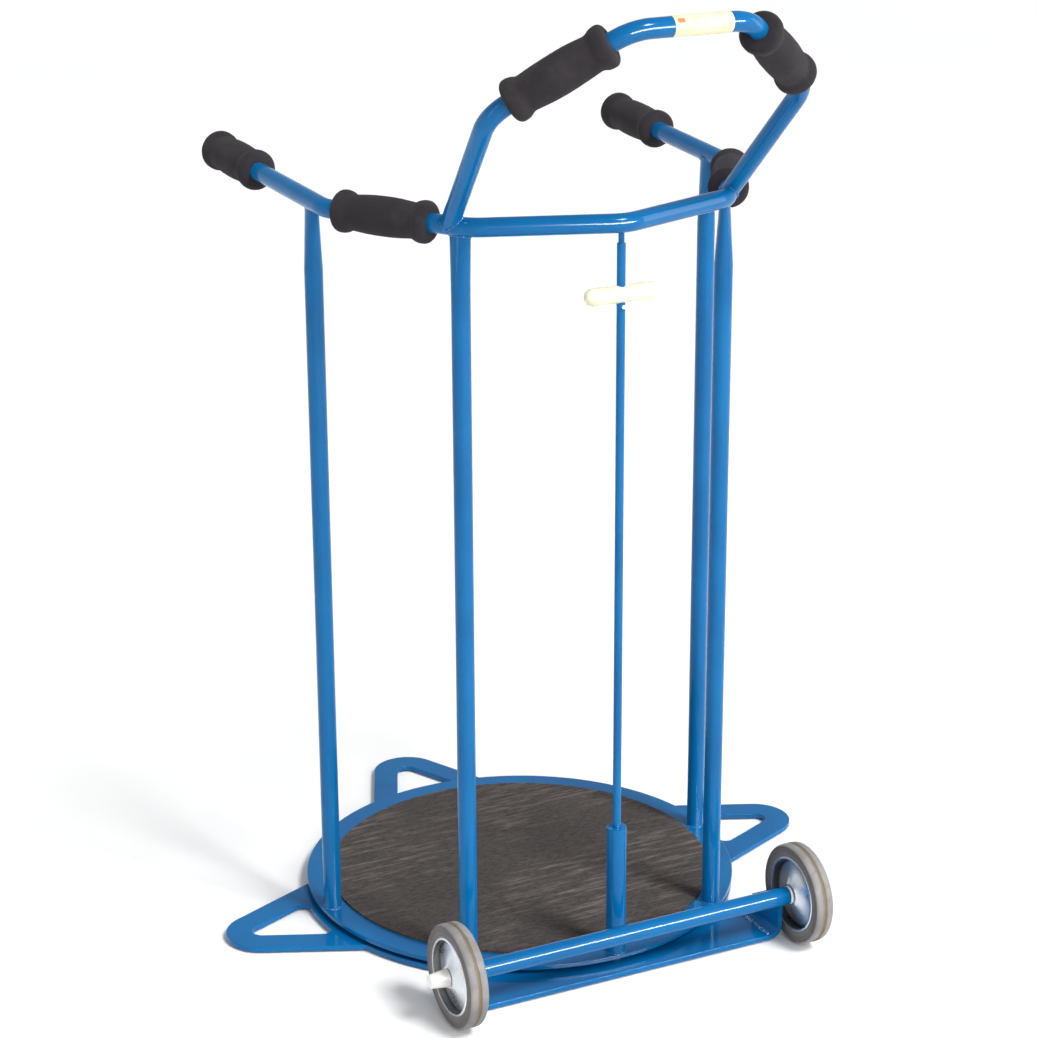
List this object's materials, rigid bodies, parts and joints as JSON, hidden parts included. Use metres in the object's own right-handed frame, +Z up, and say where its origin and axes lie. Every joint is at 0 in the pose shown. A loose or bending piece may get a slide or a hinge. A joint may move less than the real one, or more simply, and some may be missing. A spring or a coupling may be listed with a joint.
{
  "type": "stand-and-turn aid",
  "caption": "Wheeled turntable for turning a standing person: eared base plate, turning disc, tubular frame with foam grips, sprung brake rod.",
  "frame": {"origin": "on the turntable's axis at floor level, in the middle of the base's centre pad", "axes": "+Z up along the turntable's axis, X along the wheels' axle, -Y towards the wheels and the helper's loop"},
  "size_m": [0.8078, 0.8263, 1.1732],
  "materials": {
    "blue_paint": "gloss powder coat",
    "black_rubber": "matt",
    "mat_rubber": "matt, fine ribs",
    "grip_foam": "matt foam",
    "zinc_steel": "zinc plated",
    "bronze": "plain",
    "black_plastic": "plain",
    "grey_tyre": "matt, scuffed",
    "cast_centre": "cast, satin",
    "cream_plastic": "satin",
    "handle_plastic": "gloss",
    "label_film": "satin film"
  },
  "bodies": {
    "base": {"base_plate": "blue_paint", "floor_pads": "black_rubber", "wheel_bracket_left": "blue_paint", "wheel_bracket_right": "blue_paint", "axle_tube": "blue_paint", "axle_rod": "zinc_steel", "axle_bushes": "black_plastic", "axle_washers": "cream_plastic", "axle_cap_left": "cream_plastic", "axle_cap_right": "cream_plastic", "pivot_post": "zinc_steel", "pivot_washer": "zinc_steel", "pivot_screw": "zinc_steel", "bearing_lower_race": "zinc_steel", "lower_race_rivets": "zinc_steel"},
    "turntable": {"turntable_disc": "blue_paint", "standing_mat": "mat_rubber", "bearing_upper_race": "zinc_steel", "upper_race_rivets": "zinc_steel", "pivot_bush": "bronze", "upright_front_left": "blue_paint", "upright_front_right": "blue_paint", "upright_rear_left": "blue_paint", "upright_rear_right": "blue_paint", "user_rail": "blue_paint", "rail_end_plugs": "black_plastic", "caregiver_loop": "blue_paint", "rating_label": "label_film", "rear_grip_left": "grip_foam", "rear_grip_right": "grip_foam", "side_grip_left": "grip_foam", "side_grip_right": "grip_foam", "loop_grip_left": "grip_foam", "loop_grip_right": "grip_foam", "brake_socket": "blue_paint", "brake_guide_bush": "blue_paint", "brake_spring": "zinc_steel", "rail_guide_pin": "blue_paint"},
    "bearing_cage": {"bearing_cage": "black_plastic", "bearing_balls": "zinc_steel"},
    "brake_rod": {"brake_rod": "blue_paint", "t_handle": "handle_plastic", "roll_pin": "zinc_steel", "spring_collar": "zinc_steel", "brake_pad_holder": "zinc_steel", "brake_pad": "black_rubber"},
    "wheel_left": {"wheel_tyre_left": "grey_tyre", "wheel_centre_left": "cast_centre", "wheel_bush_left": "black_plastic"},
    "wheel_right": {"wheel_tyre_right": "grey_tyre", "wheel_centre_right": "cast_centre", "wheel_bush_right": "black_plastic"}
  },
  "joints": [
    {"name": "turntable_turn", "type": "hinge", "parent": "base", "child": "turntable", "pos_m": [0, 0, 0.0175], "axis": [0, 0, 1], "continuous": true},
    {"name": "cage_turn", "type": "hinge", "parent": "base", "child": "bearing_cage", "pos_m": [0, 0, 0.01175], "axis": [0, 0, 1], "continuous": true},
    {"name": "brake_lift", "type": "slide", "parent": "turntable", "child": "brake_rod", "axis": [0, 0, 1], "range_m": [0, 0.012], "stiffness_N_per_m": 1500, "springref_m": -0.01, "deforming": ["brake_spring"]},
    {"name": "wheel_left_spin", "type": "hinge", "parent": "base", "child": "wheel_left", "pos_m": [-0.233, -0.3065, 0.0645], "axis": [1, 0, 0], "continuous": true},
    {"name": "wheel_right_spin", "type": "hinge", "parent": "base", "child": "wheel_right", "pos_m": [0.233, -0.3065, 0.0645], "axis": [1, 0, 0], "continuous": true}
  ],
  "couplings": [
    {"joint": "cage_turn", "follows": "turntable_turn", "ratio": 0.5}
  ]
}
